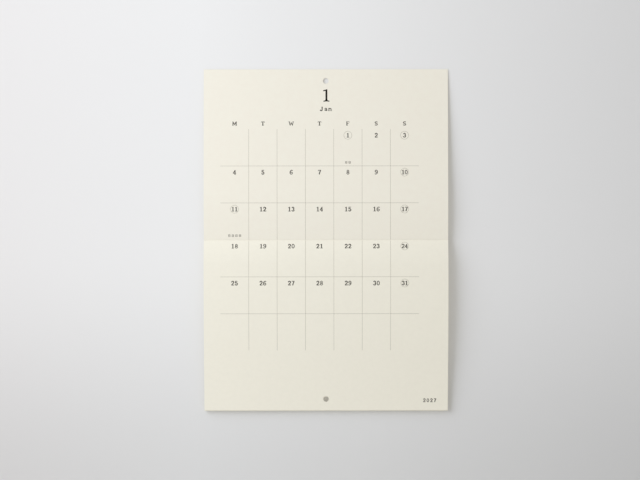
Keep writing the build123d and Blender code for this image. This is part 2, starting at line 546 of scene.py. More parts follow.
# %% [markdown]
# ## The cover sheet
# The cover is one board. From its free bottom edge it runs up behind the pages, goes over
# their spine, and turns up into the leaf that hangs on the wall. Its middle line is built
# in the side view, with a small round bend where it is creased, and a flat board with two
# punched holes is laid along it. It crosses the fold, but it isn't attached to either body.

# %% Middle line of the cover sheet
fan = 0.25
crease_radius, crease_lift = 0.14, 0.22
rear_radius, rear_lift = 0.12, 0.13
over_rear, over_front = 0.92, 0.3
face_up = unit(fold - tight[1])
face_in = np.array([face_up[1], -face_up[0]])
whole_turn = abs(float(np.arctan2(*hang_way[::-1]) - np.arctan2(-face_up[1], -face_up[0])))


def behind(points, depths):
    """A side-view line moved squarely into the paper, by one depth for each point."""
    along = np.gradient(points, axis=0)
    along /= np.linalg.norm(along, axis=1)[:, None]
    inward = np.column_stack([-along[:, 1], along[:, 0]])
    inward *= np.sign(inward[:, :1])
    return points + inward * np.reshape(depths, (-1, 1))


def spine_point(place, height):
    """A point over the rounded spine, at a place from 0 at its front to 1 at its rear."""
    half = pages_thickness / 2
    radius = (half**2 + spine_bulge**2) / (2 * spine_bulge)
    turn = np.arcsin(half / radius) * (2 * place - 1)
    inward = half + (radius + height) * np.sin(turn)
    upward = (radius + height) * np.cos(turn) - (radius - spine_bulge)
    return fold + face_in * inward + face_up * upward


def rounded_corner(before, corner, after, radius, steps=8):
    """Points that go round a corner of the side view on an arc."""
    one, other = unit(before - corner), unit(after - corner)
    half = np.arccos(np.clip(one @ other, -1, 1)) / 2
    centre = corner + unit(one + other) * radius / np.sin(half)
    start = corner + one * radius / np.tan(half)
    end = corner + other * radius / np.tan(half)
    return round_arc(centre, start, end, steps)


half_cover = cover_thickness / 2
shares = lower_lengths / lower_length
back_run = behind(lower_points, (pages_thickness + half_cover) * (1 + fan * shares**2))
front_run = behind(upper_points, half_cover * np.ones(len(upper_points)))
over_places = np.linspace(over_rear, over_front, num=12)
over_run = np.array([spine_point(place, half_cover) for place in over_places])
rear_corner = back_run[0] + face_up * rear_lift
rear_bend = rounded_corner(back_run[1], rear_corner, over_run[0], rear_radius)
crease_corner = front_run[0] + np.array([0, crease_lift])
crease = rounded_corner(over_run[-1], crease_corner, front_run[1], crease_radius)
cover_points = np.vstack([back_run[:0:-1], rear_bend, over_run, crease, front_run[1:]])
cover_lengths = lengths_along(cover_points)
cover_line = side_view_curve("cover_line", cover_points)
print("cover line is", round(cover_lengths[-1], 1), "mm long")

# %% [markdown]
# The board is cut from that line's length. It was trimmed square while the booklet lay
# flat, so its rear half hangs lower now, by the turn of the block times its depth.

# %% The cover sheet itself
side_edges = (-sheet_width / 2, sheet_width / 2)
body_columns = np.linspace(*side_edges, num=11)[1:-1]
nearest_rows = 0.04


def rows_of(lengths, span):
    """The rows of a flat piece, at the points of its line and without any that nearly meet."""
    kept = []
    for length in sorted(lengths):
        if span[0] < length < span[1] and (not kept or length - kept[-1] > nearest_rows):
            kept.append(float(length))
    return kept


rear_overhang = (pages_thickness + cover_thickness) * whole_turn
board_start, board_end = rear_tail - rear_overhang, cover_lengths[-1]
hole_places = (board_end - hole_from_edge, board_start + hole_from_edge)
board = thin_solid(
    "cover_sheet",
    *covered(
        [rectangle(*side_edges, board_start, board_end)],
        [circle(0, place, hole_radius) for place in hole_places],
        rows_of(cover_lengths, (board_start, board_end)),
        body_columns,
    ),
    -half_cover,
    half_cover,
)
cover_sheet = evaluated_piece(
    "cover_sheet",
    board,
    sheet_tree,
    {"Line": cover_line, "Material": cover_board, "Edge material": cut_edge},
)
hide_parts("front_cover", "back_cover")
print("the board hangs", round(rear_overhang, 2), "mm lower at the back than a square cut would")

# %% [markdown]
# ## The pages
# The block is six sheets, each folded in half round the ones inside it. They were trimmed
# while they lay flat, so now that the block bows forward the rear leaves hang a little
# lower than the front one, and their punched holes step down in the same way. A Geometry
# Nodes tree makes the stack from one flat sheet: it copies the sheet, gives each copy its
# own fold radius, lays both halves behind the block's line and lets the free edges fan
# out and scatter by a fixed seed.

# %% Tree that folds and stacks the sheets
stack_tree, given = open_tree(
    "Stack of folded sheets",
    [
        ("Geometry", "Geometry"),
        *line_inputs,
        ("Sheets", "Int"),
        ("Leaf thickness", "Float"),
        ("Page length", "Float"),
        ("Spine bulge", "Float"),
        ("Bow", "Float"),
        ("Fan", "Float"),
        ("Scatter", "Float"),
        ("Seed", "Int"),
        *finish_inputs,
    ],
)
copies = add_node(
    stack_tree,
    "GeometryNodeMeshLine",
    {"Count": given["Sheets"], "Offset": (0, 0, 0)},
    mode="OFFSET",
)
stacked = add_node(
    stack_tree,
    "GeometryNodeInstanceOnPoints",
    {"Points": copies, "Instance": given["Geometry"]},
)
index = add_node(stack_tree, "GeometryNodeInputIndex")
numbered = add_node(
    stack_tree,
    "GeometryNodeStoreNamedAttribute",
    {"Geometry": stacked, "Name": "sheet", "Value": index},
    data_type="INT",
    domain="INSTANCE",
)
loose = add_node(stack_tree, "GeometryNodeRealizeInstances", {"Geometry": numbered})
number = add_node(
    stack_tree, "GeometryNodeInputNamedAttribute", {"Name": "sheet"}, data_type="INT"
)
flat = flat_place(stack_tree)
print("the stack gets", inner_sheets, "sheets, each", leaf_thickness, "mm thick")

# %% [markdown]
# Each leaf is a little out of line. The sheet's number, with a sign for the half of it, is
# the leaf's own number, so all corners of one leaf draw the same chance.

# %% Chance for each leaf
first_number = 20.0
side = add_node(stack_tree, "ShaderNodeMath", {0: flat["Y"]}, operation="SIGN")
leaf_number = add_node(
    stack_tree, "ShaderNodeMath", {0: number, 1: side, 2: first_number}, operation="MULTIPLY_ADD"
)
random = add_node(
    stack_tree,
    "FunctionNodeRandomValue",
    {"Min": (-1, -1, -1), "Max": (1, 1, 1), "ID": leaf_number, "Seed": given["Seed"]},
    data_type="FLOAT_VECTOR",
)
stray = add_node(stack_tree, "ShaderNodeSeparateXYZ", {0: random}).outputs
print("leaves are numbered about", first_number)

# %% [markdown]
# The sums of the fold are a table: each row is one Math node, with a name for its result,
# what it does, and what goes in. A capital starts the name of one of the tree's inputs.
# Near the fold a sheet goes round a half circle of its own radius, a little flattened, and
# past it each half runs down the block's line at its own depth.

# %% Sums of the fold, one Math node a row
cap_share = 0.75
sums = [
    ("from_inside", "SUBTRACT", "Sheets", "number"),
    ("nested", "SUBTRACT", "from_inside", 0.5),
    ("fold_radius", "MULTIPLY", "nested", "Leaf thickness"),
    ("cap_radius", "MULTIPLY", "fold_radius", cap_share),
    ("quarter", "MULTIPLY", "cap_radius", pi / 2),
    ("round_angle", "DIVIDE", "along", "cap_radius"),
    ("turned_back", "MAXIMUM", "round_angle", -pi / 2),
    ("turn", "MINIMUM", "turned_back", pi / 2),
    ("sine", "SINE", "turn"),
    ("cosine", "COSINE", "turn"),
    ("from_fold", "ABSOLUTE", "along"),
    ("past_round", "SUBTRACT", "from_fold", "quarter"),
    ("straight_run", "MAXIMUM", "past_round", 0.0),
    ("longest", "SUBTRACT", "Page length", "quarter"),
    ("stretch", "DIVIDE", "Page length", "longest"),
    ("run", "MULTIPLY", "straight_run", "stretch"),
    ("down", "DIVIDE", "run", "Page length"),
    ("half_stack", "MULTIPLY", "Sheets", "Leaf thickness"),
    ("depth", "MULTIPLY_ADD", "fold_radius", "sine", "half_stack"),
    ("down_squared", "MULTIPLY", "down", "down"),
    ("fanned", "MULTIPLY_ADD", "Fan", "down_squared", 1.0),
    ("deeper", "MULTIPLY", "depth", "fanned"),
    ("bowed", "MULTIPLY", "depth", "Bow"),
    ("stray_down", "MULTIPLY", "stray_y", "Scatter"),
    ("lower", "ADD", "bowed", "stray_down"),
    ("hang", "MULTIPLY_ADD", "lower", "down", "run"),
    ("length", "SUBTRACT", "Fold at", "hang"),
    ("side_face", "MULTIPLY_ADD", "skin", "sine", "deeper"),
    ("toward", "MULTIPLY", "side_face", -1.0),
    ("round_share", "DIVIDE", "Spine bulge", "half_stack"),
    ("cap_height", "MULTIPLY_ADD", "fold_radius", "round_share", "skin"),
    ("upward", "MULTIPLY", "cosine", "cap_height"),
    ("stray_side", "MULTIPLY", "stray_x", "Scatter"),
    ("across", "MULTIPLY_ADD", "stray_side", "down", "x"),
]
known = {**dict(given.items()), "number": number}
known |= {"x": flat["X"], "along": flat["Y"], "skin": flat["Z"]}
known |= {"stray_x": stray["X"], "stray_y": stray["Y"]}
for name, operation, *terms in sums:
    sockets = {place: known.get(term, term) for place, term in enumerate(terms)}
    known[name] = add_node(stack_tree, "ShaderNodeMath", sockets, operation=operation)
print(len(sums), "sums for each corner of a sheet")

# %% [markdown]
# The group gives the point of the block's line for each corner's length. From there the
# corner moves back into the stack, up over the spine, and sideways.

# %% Sheets in their places
asked = {"Line": given["Line"], "Length": known["length"]}
placed = add_node(stack_tree, "GeometryNodeGroup", asked, node_tree=on_line).outputs
settled = placed["Point"]
for direction, distance in (("Facing", "toward"), ("Up", "upward")):
    settled = add_node(
        stack_tree,
        "ShaderNodeVectorMath",
        {0: placed[direction], 1: known[distance], 2: settled},
        operation="MULTIPLY_ADD",
    )
step_aside = add_node(stack_tree, "ShaderNodeCombineXYZ", {"X": known["across"]})
settled = add_node(stack_tree, "ShaderNodeVectorMath", {0: settled, 1: step_aside})
folded = add_node(
    stack_tree, "GeometryNodeSetPosition", {"Geometry": loose, "Position": settled}
)
finish_tree(stack_tree, folded, given["Material"], given["Edge material"])
print("the stack tree has", len(stack_tree.nodes), "nodes")

# %% [markdown]
# One flat sheet, two pages long, goes into the tree. Its rows are close together round the
# fold, where it bends most, and further down they match those of the block's line.

# %% The page sheets
edge_scatter, scatter_seed = 0.1, 7
round_reach, round_rows = 1.3, 27
fold_rows = np.linspace(-round_reach, round_reach, round_rows)
page_span = (-lower_length, lower_length)
page_hole = lower_length - hole_from_edge
flat_page = thin_solid(
    "page_sheets",
    *covered(
        [rectangle(*side_edges, *page_span)],
        [circle(0, place, hole_radius) for place in (-page_hole, page_hole)],
        rows_of([*fold_rows, *lower_lengths, *-lower_lengths], page_span),
        body_columns,
    ),
    -leaf_thickness / 2,
    leaf_thickness / 2,
)
page_sheets = evaluated_piece(
    "page_sheets",
    flat_page,
    stack_tree,
    {
        **halves["block"],
        "Sheets": inner_sheets,
        "Leaf thickness": leaf_thickness * millimetre,
        "Page length": lower_length * millimetre,
        "Spine bulge": spine_bulge * millimetre,
        "Bow": whole_turn,
        "Fan": fan,
        "Scatter": edge_scatter * millimetre,
        "Seed": scatter_seed,
        "Material": page_stock,
        "Edge material": cut_edge,
    },
)
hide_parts("page_block")
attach(page_sheets, "block")

# %% [markdown]
# ## A case of type
# The numbers are set in a sturdy slab-serif face like a typewriter's: even strokes, flat
# feet and small blobs where a stroke ends. A font file isn't needed. Each character is
# drawn as a few pen strokes on a body one unit high, and the strokes are united into one
# outline. Each is made once, and a Geometry Nodes tree picks it wherever it is printed.

# %% Pen strokes
pen, light_pen, foot = 0.18, 0.15, 0.11
sharpest_mitre = 0.4


def stroke(points, width=pen):
    """The outline of a pen stroke of even width, mitred at its bends."""
    points = np.array(points, float)
    along = np.diff(points, axis=0)
    along /= np.linalg.norm(along, axis=1)[:, None]
    tangents = np.vstack([along[:1], along[:-1] + along[1:], along[-1:]])
    tangents /= np.linalg.norm(tangents, axis=1)[:, None]
    nearest = np.vstack([along[:1], along])
    stretch = 1 / np.clip(np.sum(tangents * nearest, axis=1), sharpest_mitre, 1)
    normals = np.column_stack([-tangents[:, 1], tangents[:, 0]])
    normals *= (width / 2 * stretch)[:, None]
    return [tuple(p) for p in np.vstack([points + normals, (points - normals)[::-1]])]


def arc(x, y, across, high, start, end, steps=14):
    """Points on an arc of an ellipse, between two angles in degrees."""
    turns = np.radians(np.linspace(start, end, steps + 1))
    return [(x + across * cos(turn), y + high * sin(turn)) for turn in turns]


def oval(x, y, across, high, width=pen):
    """A closed oval stroke, as two halves that overlap."""
    halves_of_oval = ((-5, 185), (175, 365))
    return [stroke(arc(x, y, across, high, *half, steps=16), width) for half in halves_of_oval]


def blob(x, y, radius=0.1):
    return circle(x, y, radius, steps=14)


print("pens", pen, light_pen)

# %% [markdown]
# The characters are a table of shapes: a stroke follows a pen, a rectangle is a slab or a
# foot, and a blob ends a hook. The nine is the six turned upside down.

# %% The characters
six = [*oval(0, 0.3, 0.24, 0.235, light_pen), blob(0.25, 0.86, 0.07)]
six.append(stroke([*arc(0.13, 0.5, 0.37, 0.435, 62, 180), (-0.24, 0.3)], light_pen))
sorts = {
    "0": [*oval(0, 0.5, 0.24, 0.435, light_pen)],
    "1": [
        stroke([(0.02, 0.02), (0.02, 1)], 0.19),
        stroke([(-0.21, 0.79), (0.02, 0.92)], 0.13),
        rectangle(-0.24, 0.28, 0, foot),
    ],
    "2": [
        stroke([*arc(0, 0.7, 0.225, 0.235, 165, -28), (-0.22, 0.08)]),
        rectangle(-0.3, 0.3, 0, 0.125),
        rectangle(0.22, 0.3, 0, 0.24),
        blob(-0.2, 0.74),
    ],
    "3": [
        stroke(arc(-0.02, 0.72, 0.205, 0.215, 150, -90)),
        stroke(arc(-0.02, 0.285, 0.245, 0.22, 90, -150)),
        blob(-0.19, 0.81),
        blob(-0.22, 0.2),
    ],
    "4": [
        stroke([(0.12, 0.02), (0.12, 1)]),
        stroke([(0.13, 0.94), (-0.28, 0.31)], 0.13),
        rectangle(-0.34, 0.32, 0.235, 0.36),
        rectangle(-0.06, 0.28, 0, foot),
    ],
    "5": [
        rectangle(-0.23, 0.26, 0.86, 1),
        stroke([(-0.17, 0.95), (-0.2, 0.48)], 0.13),
        stroke(arc(-0.01, 0.325, 0.24, 0.265, 140, -150)),
        blob(-0.2, 0.19),
    ],
    "6": six,
    "7": [
        rectangle(-0.29, 0.29, 0.87, 1),
        rectangle(-0.29, -0.21, 0.76, 1),
        stroke([(0.22, 0.93), (0.12, 0.65), (0.02, 0.42), (-0.04, 0.2), (-0.05, 0)], 0.2),
    ],
    "8": [*oval(0, 0.735, 0.195, 0.2, 0.135), *oval(0, 0.275, 0.235, 0.21, 0.135)],
    "9": [[(-x, 1 - y) for x, y in shape] for shape in six],
    "F": [
        stroke([(-0.19, 0), (-0.19, 1)]),
        rectangle(-0.33, 0.3, 0.895, 1),
        rectangle(0.22, 0.3, 0.74, 1),
        rectangle(-0.19, 0.16, 0.46, 0.565),
        rectangle(-0.33, 0, 0, foot),
    ],
    "J": [
        stroke([(0.1, 1), *arc(-0.13, 0.3, 0.23, 0.23, 0, -150)], 0.22),
        rectangle(-0.1, 0.3, 0.88, 1),
        blob(-0.29, 0.2, 0.13),
    ],
    "M": [
        stroke([(-0.33, 0), (-0.33, 1)], 0.14),
        stroke([(0.33, 0), (0.33, 1)], 0.165),
        stroke([(-0.34, 0.95), (0, 0.25), (0.34, 0.95)], 0.15),
        rectangle(-0.47, -0.19, 0, foot),
        rectangle(0.19, 0.47, 0, foot),
        rectangle(-0.47, -0.28, 0.905, 1),
        rectangle(0.28, 0.47, 0.905, 1),
    ],
    "S": [
        stroke(
            [*arc(0, 0.715, 0.215, 0.22, 30, 270), *arc(0, 0.275, 0.235, 0.21, 84, -150)], 0.16
        ),
        rectangle(0.17, 0.245, 0.74, 1),
        rectangle(-0.26, -0.185, 0, 0.26),
    ],
    "T": [
        stroke([(0, 0), (0, 1)]),
        rectangle(-0.36, 0.36, 0.895, 1),
        rectangle(-0.36, -0.28, 0.72, 1),
        rectangle(0.28, 0.36, 0.72, 1),
        rectangle(-0.17, 0.17, 0, foot),
    ],
    "W": [
        stroke([(-0.42, 0.95), (-0.22, 0.08), (0, 0.72), (0.22, 0.08), (0.42, 0.95)], 0.16),
        rectangle(-0.56, -0.28, 0.905, 1),
        rectangle(0.28, 0.56, 0.905, 1),
    ],
    "a": [
        stroke([*arc(-0.01, 0.48, 0.22, 0.18, 155, 0), (0.21, 0.04)], 0.18),
        stroke([(0.18, 0.06), (0.36, 0.06)], 0.12),
        *oval(-0.03, 0.21, 0.22, 0.145, 0.14),
        blob(-0.21, 0.55, 0.09),
    ],
    "n": [
        stroke([(-0.25, 0), (-0.25, 0.7)], 0.2),
        stroke([*arc(0, 0.44, 0.25, 0.2, 170, 0), (0.25, 0)], 0.19),
        rectangle(-0.42, -0.25, 0.6, 0.7),
        rectangle(-0.42, -0.09, 0, 0.09),
        rectangle(0.09, 0.42, 0, 0.09),
    ],
}
for characters, wider in (("0123456789", 1.04), ("FMSTW", 1.22)):
    for character in characters:
        shapes = sorts[character]
        sorts[character] = [[(x * wider, y) for x, y in shape] for shape in shapes]
print(len(sorts), "characters drawn")

# %% [markdown]
# The large numeral and the ring are drawn at full size, and a small mark of crossed bars
# stands where a caption would be.

# %% The mark, the numeral and the ring
bar = 0.14
sorts["mark"] = [rectangle(-0.45, 0.45, y, y + bar) for y in (-0.5, -0.07, 0.36)]
sorts["mark"] += [rectangle(x, x + bar, -0.5, 0.5) for x in (-0.45, 0.31)]
numeral_stem = 2.3
sorts["numeral"] = [
    stroke([(-0.2, 7.0), (-0.2, -6.9)], numeral_stem),
    [(0.95, 7.85), (-0.5, 7.4), (-4.1, 6.4), (-4.2, 5.05), (-1.0, 5.7), (0.95, 5.7)],
    [(-3.85, -7.6), (0, -7.3), (3.45, -7.6), (3.45, -6.5), (1.35, -6.15), (0.95, -5.1)]
    + [(-1.35, -5.1), (-1.75, -6.15), (-3.85, -6.5)],
]
ring_radius, ring_line = 5.05, 0.33
ring_outlines = [circle(0, 0, ring_radius - inward, steps=48) for inward in (0, ring_line)]

type_case = bpy.data.collections.new("type_case")
case_order = {}
half_body = 0.5


def into_case(character, points, triangles):
    """Stores one character in the case. Its thickness is a unit, for the tree to press."""
    name = f"sort_{len(case_order):02d}"
    mesh = thin_solid(name, points, triangles, -half_body, half_body)
    case_order[character] = len(case_order)
    type_case.objects.link(bpy.data.objects.new(name, mesh))


for character, shapes in sorts.items():
    into_case(character, *covered(shapes))
into_case("ring", *covered(ring_outlines[:1], ring_outlines[1:]))

# %% [markdown]
# ## Setting the type
# A printed line is only a list of places: which character stands there and how high it is.
# The tree puts the right character from the case on every place, makes them real, presses
# them to the thickness of an ink film and lays them on the bent paper.

# %% Tree that prints characters
type_tree, given = open_tree(
    "Print characters",
    [
        ("Geometry", "Geometry"),
        ("Type case", "Collection"),
        *line_inputs,
        ("Ink under", "Float"),
        ("Ink over", "Float"),
        *finish_inputs,
    ],
)
case_info = add_node(
    type_tree,
    "GeometryNodeCollectionInfo",
    {"Collection": given["Type case"], "Separate Children": True, "Reset Children": True},
)
sort_number, size = (
    add_node(type_tree, "GeometryNodeInputNamedAttribute", {"Name": name}, data_type=kind)
    for name, kind in (("sort", "INT"), ("size", "FLOAT"))
)
scale = add_node(type_tree, "ShaderNodeCombineXYZ", {"X": size, "Y": size, "Z": 1.0})
set_type = add_node(
    type_tree,
    "GeometryNodeInstanceOnPoints",
    {
        "Points": given["Geometry"],
        "Instance": case_info,
        "Pick Instance": True,
        "Instance Index": sort_number,
        "Scale": scale,
    },
)
real_type = add_node(type_tree, "GeometryNodeRealizeInstances", {"Geometry": set_type})
flat = flat_place(type_tree)
film = add_node(
    type_tree,
    "ShaderNodeMapRange",
    {
        "Value": flat["Z"],
        "From Min": -half_body * millimetre,
        "From Max": half_body * millimetre,
        "To Min": given["Ink under"],
        "To Max": given["Ink over"],
    },
)
pressed_at = add_node(
    type_tree, "ShaderNodeCombineXYZ", {"X": flat["X"], "Y": flat["Y"], "Z": film}
)
pressed = add_node(
    type_tree, "GeometryNodeSetPosition", {"Geometry": real_type, "Position": pressed_at}
)
printed = lay_flat_work(type_tree, pressed, given["Line"], given["Fold at"])
finish_tree(type_tree, printed, given["Material"], given["Edge material"])
print("the tree for type has", len(type_tree.nodes), "nodes")

# %% [markdown]
# Ink goes a little into the paper and stands a little over it. A real film is far thinner,
# and this one is just thick enough to stay clear of the sheet. Every printed piece starts
# as bare points, which carry what character stands on them and at what size.

# %% Lines of type and printed pieces
ink_under, ink_over = -0.012, 0.028


def set_line(text, x, height, size, pitch):
    """Places for the characters of a line, centred at x with its foot at a height."""
    first = x - pitch * (len(text) - 1) / 2
    return [(first + pitch * n, height, character, size) for n, character in enumerate(text)]


def print_piece(name, body, material, places, replaced=None):
    """Prints places of (x, height, character, size) on the paper of one body."""
    across, heights, characters, sizes = zip(*places)
    mesh = new_mesh(name, [(x, on_paper(height), 0) for x, height in zip(across, heights)])
    numbers = [case_order[character] for character in characters]
    for title, kind, noted in (("sort", "INT", numbers), ("size", "FLOAT", sizes)):
        mesh.attributes.new(title, kind, "POINT").data.foreach_set("value", noted)
    values = {
        "Type case": type_case,
        "Ink under": ink_under * millimetre,
        "Ink over": ink_over * millimetre,
        "Material": material,
        "Edge material": material,
    }
    piece = evaluated_piece(name, mesh, type_tree, {**values, **halves[body]})
    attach(piece, body)
    if replaced:
        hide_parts(replaced)


print("an ink film is", round(ink_over - ink_under, 3), "mm thick")

# %% [markdown]
# ## The month, laid out
# A month starts on a weekday and fills rows of seven. The first row, and the two under it,
# stand on the upper leaf, and the rest hangs below the fold. Sundays and public holidays
# have a thin ring round the number, and a ringed number is set a little tighter.

# %% Dates and rings
cell_width, cell_height = 34.8, 45.3
grid_shift, grid_lift = -7.8, 0.7
columns, rows_on_each_half = 7, 3
first_weekday = 4
ringed_days = (1, 3, 10, 11, 17, 24, 31)
date_drop = 7.7
date_type, ringed_type = (5.5, 4.4), (5.35, 3.95)
column_places = [
    grid_shift + (column - (columns - 1) / 2) * cell_width for column in range(columns)
]

dates = {"cover": [], "block": []}
rings = {"cover": [], "block": []}
for day in range(1, 32):
    row, column = divmod(first_weekday + day - 1, columns)
    x = column_places[column]
    middle = (rows_on_each_half - row) * cell_height + grid_lift - date_drop
    body = "cover" if middle > 0 else "block"
    size, pitch = ringed_type if day in ringed_days else date_type
    dates[body] += set_line(str(day), x, middle - size / 2, size, pitch)
    if day in ringed_days:
        rings[body].append((x, middle, "ring", 1))

for body, half in (("cover", "upper"), ("block", "lower")):
    print_piece(f"dates_{half}", body, date_black, dates[body])
    print_piece(
        f"rings_{half}", body, hairline_grey, rings[body], f"day_rings_{half}"
    )

# %% [markdown]
# Above the grid stand the weekdays' initials, the short name of the month and its large
# numeral, and the year stands in the bottom corner. Two rows of small marks stand under
# holidays.

# %% Weekdays, month, year and marks
weekday_middle, weekday_size = 143.4, 4.9
weekdays = []
for x, initial in zip(column_places, "MTWTFSS"):
    weekdays += set_line(initial, x, weekday_middle - weekday_size / 2, weekday_size, 0)
month = set_line("Jan", 0.0, 158.8, 5.1, 5.1)
year = set_line("2027", 127.6, -199.7, 4.5, 4.35)
numeral_place = (0.9, 177.9, "numeral", 1)
marks_upper = set_line(["mark"] * 2, column_places[4], 95.6, 2.7, 4.2)
marks_lower = set_line(["mark"] * 4, column_places[0], 5.8, 2.8, 4.35)
print_piece("weekday_initials", "cover", date_black, weekdays)
print_piece("month_name", "cover", date_black, month)
print_piece("large_numeral", "cover", soft_black, [numeral_place], "month_numeral")
print_piece("year_number", "block", date_black, year)
print_piece("marks_upper", "cover", caption_grey, marks_upper)
print_piece("marks_lower", "cover", caption_grey, marks_lower)

# %% [markdown]
# ## The ruling
# The hairlines of the month grid are ruled in one go: six upright lines run through both
# halves, and two level ones cross each half. They are long, so they are cut at the same
# rows as the paper under them, and bend exactly where it bends. On the leaf they stop just
# above the crease, where the paper starts to turn. On the block they reach the fold.

# %% Hairlines
line_width = 0.3
crease_reach, fold_gap = 0.75, 0.1
halves_of_grid = {
    "cover": (1, "upper", upper_lengths, crease_reach),
    "block": (-1, "lower", -lower_lengths, fold_gap),
}
upright_places = [
    grid_shift + (number - columns / 2) * cell_width for number in range(1, columns)
]
row_ends = (grid_shift - columns * cell_width / 2, grid_shift + columns * cell_width / 2)
for body, (side, half, rows, stop) in halves_of_grid.items():
    grid_end = on_paper(side * rows_on_each_half * cell_height + grid_lift)
    span = sorted((side * stop, grid_end))
    lines = [rectangle(x - line_width / 2, x + line_width / 2, *span) for x in upright_places]
    for row in (1, 2):
        y = on_paper(side * row * cell_height + grid_lift)
        lines.append(rectangle(*row_ends, y - line_width / 2, y + line_width / 2))
    drawing = covered(lines, rows=rows_of(rows, span))
    piece = evaluated_piece(
        f"ruling_{half}",
        thin_solid(f"ruling_{half}", *drawing, ink_under, ink_over),
        sheet_tree,
        {**halves[body], "Material": hairline_grey, "Edge material": hairline_grey},
    )
    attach(piece, body)
    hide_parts(f"month_grid_{half}")

# %% [markdown]
# ## The staples
# Two wire staples hold the sheets. Each is galvanised steel wire: its crown lies over the
# spine, the legs go through every fold, and the tips are turned in between the middle
# pages. Drawing leaves fine scratches along the wire, and the zinc on it is dull, so its
# grey and its roughness drift together along one drawn-out noise. The scratches are wider
# than real ones, so that a close view shows them. A wire is a line with a round section,
# so a tree sweeps a circle along it.

# %% Staple wire
scratch_width, along_wire = 0.12, (0.08, 1, 1)
wire_material, tree, shader = new_material("galvanised_steel_wire", Metallic=1.0)
place = add_node(tree, "ShaderNodeTexCoord").outputs["Object"]
drawn = add_node(tree, "ShaderNodeMapping", {"Vector": place, "Scale": along_wire})
scratches = add_node(
    tree,
    "ShaderNodeTexNoise",
    {"Vector": drawn, "Scale": per_millimetres(scratch_width), "Detail": 2},
)
greys = {"Factor": scratches, 6: linear("#A9ABAC"), 7: linear("#C9CACA")}
zinc = add_node(tree, "ShaderNodeMix", greys, data_type="RGBA")
dull = add_node(
    tree, "ShaderNodeMapRange", {"Value": scratches, "To Min": 0.28, "To Max": 0.46}
)
tree.links.new(zinc.outputs[2], shader.inputs["Base Color"])
tree.links.new(dull.outputs["Result"], shader.inputs["Roughness"])

wire_tree, given = open_tree(
    "Wire along a line",
    [("Geometry", "Geometry"), ("Radius", "Float"), ("Sides", "Int"), ("Material", "Material")],
)
section = add_node(
    wire_tree,
    "GeometryNodeCurvePrimitiveCircle",
    {"Resolution": given["Sides"], "Radius": given["Radius"]},
    mode="RADIUS",
)
wire_line = add_node(wire_tree, "GeometryNodeMeshToCurve", {"Mesh": given["Geometry"]})
swept = add_node(
    wire_tree,
    "GeometryNodeCurveToMesh",
    {"Curve": wire_line, "Profile Curve": section, "Fill Caps": True},
)
real_wire = add_node(wire_tree, "GeometryNodeRealizeInstances", {"Geometry": swept})
coated = add_node(
    wire_tree, "GeometryNodeSetMaterial", {"Geometry": real_wire, "Material": given["Material"]}
)
add_node(wire_tree, "NodeGroupOutput", {"Geometry": coated})
print("wire tree has", len(wire_tree.nodes), "nodes")

# %% [markdown]
# The wire's line is drawn once, in the plane of a staple with heights above the spine. It
# is then set in the fold twice.

# %% The staples in the fold
wire_radius, crown_half, tip_half = 0.3, 5.7, 1.5
bend_radius, wire_sides = 0.45, 20
crown_height = cover_thickness + wire_radius
clinch_height = -inner_sheets * leaf_thickness - wire_radius
half_wire = [(tip_half, clinch_height), (crown_half, clinch_height), (crown_half, crown_height)]
corners = [np.array((-x, height)) for x, height in half_wire]
corners += [np.array(corner) for corner in half_wire[::-1]]
wire_points = [corners[0]]
for before, corner, after in zip(corners, corners[1:], corners[2:]):
    wire_points += list(rounded_corner(before, corner, after, bend_radius))
wire_points.append(corners[-1])

spine_middle = spine_point(0.5, 0)
staple_place = 75.0
spans = [(number, number + 1) for number in range(len(wire_points) - 1)]
for side, middle in (("left", -staple_place), ("right", staple_place)):
    name = f"staple_{side}_wire"
    places = [(middle + x, *(spine_middle + face_up * height)) for x, height in wire_points]
    staple = evaluated_piece(
        name,
        new_mesh(name, places, edges=spans),
        wire_tree,
        {"Radius": wire_radius * millimetre, "Sides": wire_sides, "Material": wire_material},
    )
    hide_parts(f"staple_{side}")
    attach(staple, "block")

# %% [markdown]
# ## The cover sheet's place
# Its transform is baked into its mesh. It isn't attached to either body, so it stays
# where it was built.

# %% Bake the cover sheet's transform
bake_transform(cover_sheet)

# %% [markdown]
# ## Wall and floor
# The calendar hangs on a wall with matt emulsion paint, rolled on, which gives the eye an
# even, pale surface without gloss. It is only there to show light and shadow. The camera
# and reflections see it from its front, and for all other rays it gives way to a clear
# shader, so it neither shines on the paper nor hides the calendar's back.

# %% Wall paint that is seen from one side
stage_finish = {"Roughness": 0.95, "Specular_IOR_Level": 0.1}
# Its colour is toned further down with painted light and shade from the lamp's falloff.
wall_paint_with_painted_falloff, tree, shader = new_material("pale_wall_with_painted_falloff", **stage_finish)
rays = add_node(tree, "ShaderNodeLightPath").outputs
behind_it = add_node(tree, "ShaderNodeNewGeometry").outputs["Backfacing"]
looked_at = {0: rays["Is Camera Ray"], 1: rays["Is Glossy Ray"]}
seen = add_node(tree, "ShaderNodeMath", looked_at, operation="MAXIMUM")
front = add_node(tree, "ShaderNodeMath", {0: 1.0, 1: behind_it}, operation="SUBTRACT")
shown = add_node(tree, "ShaderNodeMath", {0: seen, 1: front}, operation="MULTIPLY")
clear = add_node(tree, "ShaderNodeBsdfTransparent")
one_sided = add_node(tree, "ShaderNodeMixShader", {0: shown, 1: clear, 2: shader})
tree.links.new(one_sided.outputs[0], tree.nodes["Material Output"].inputs["Surface"])
print("wall paint is", wall_paint_with_painted_falloff.name)
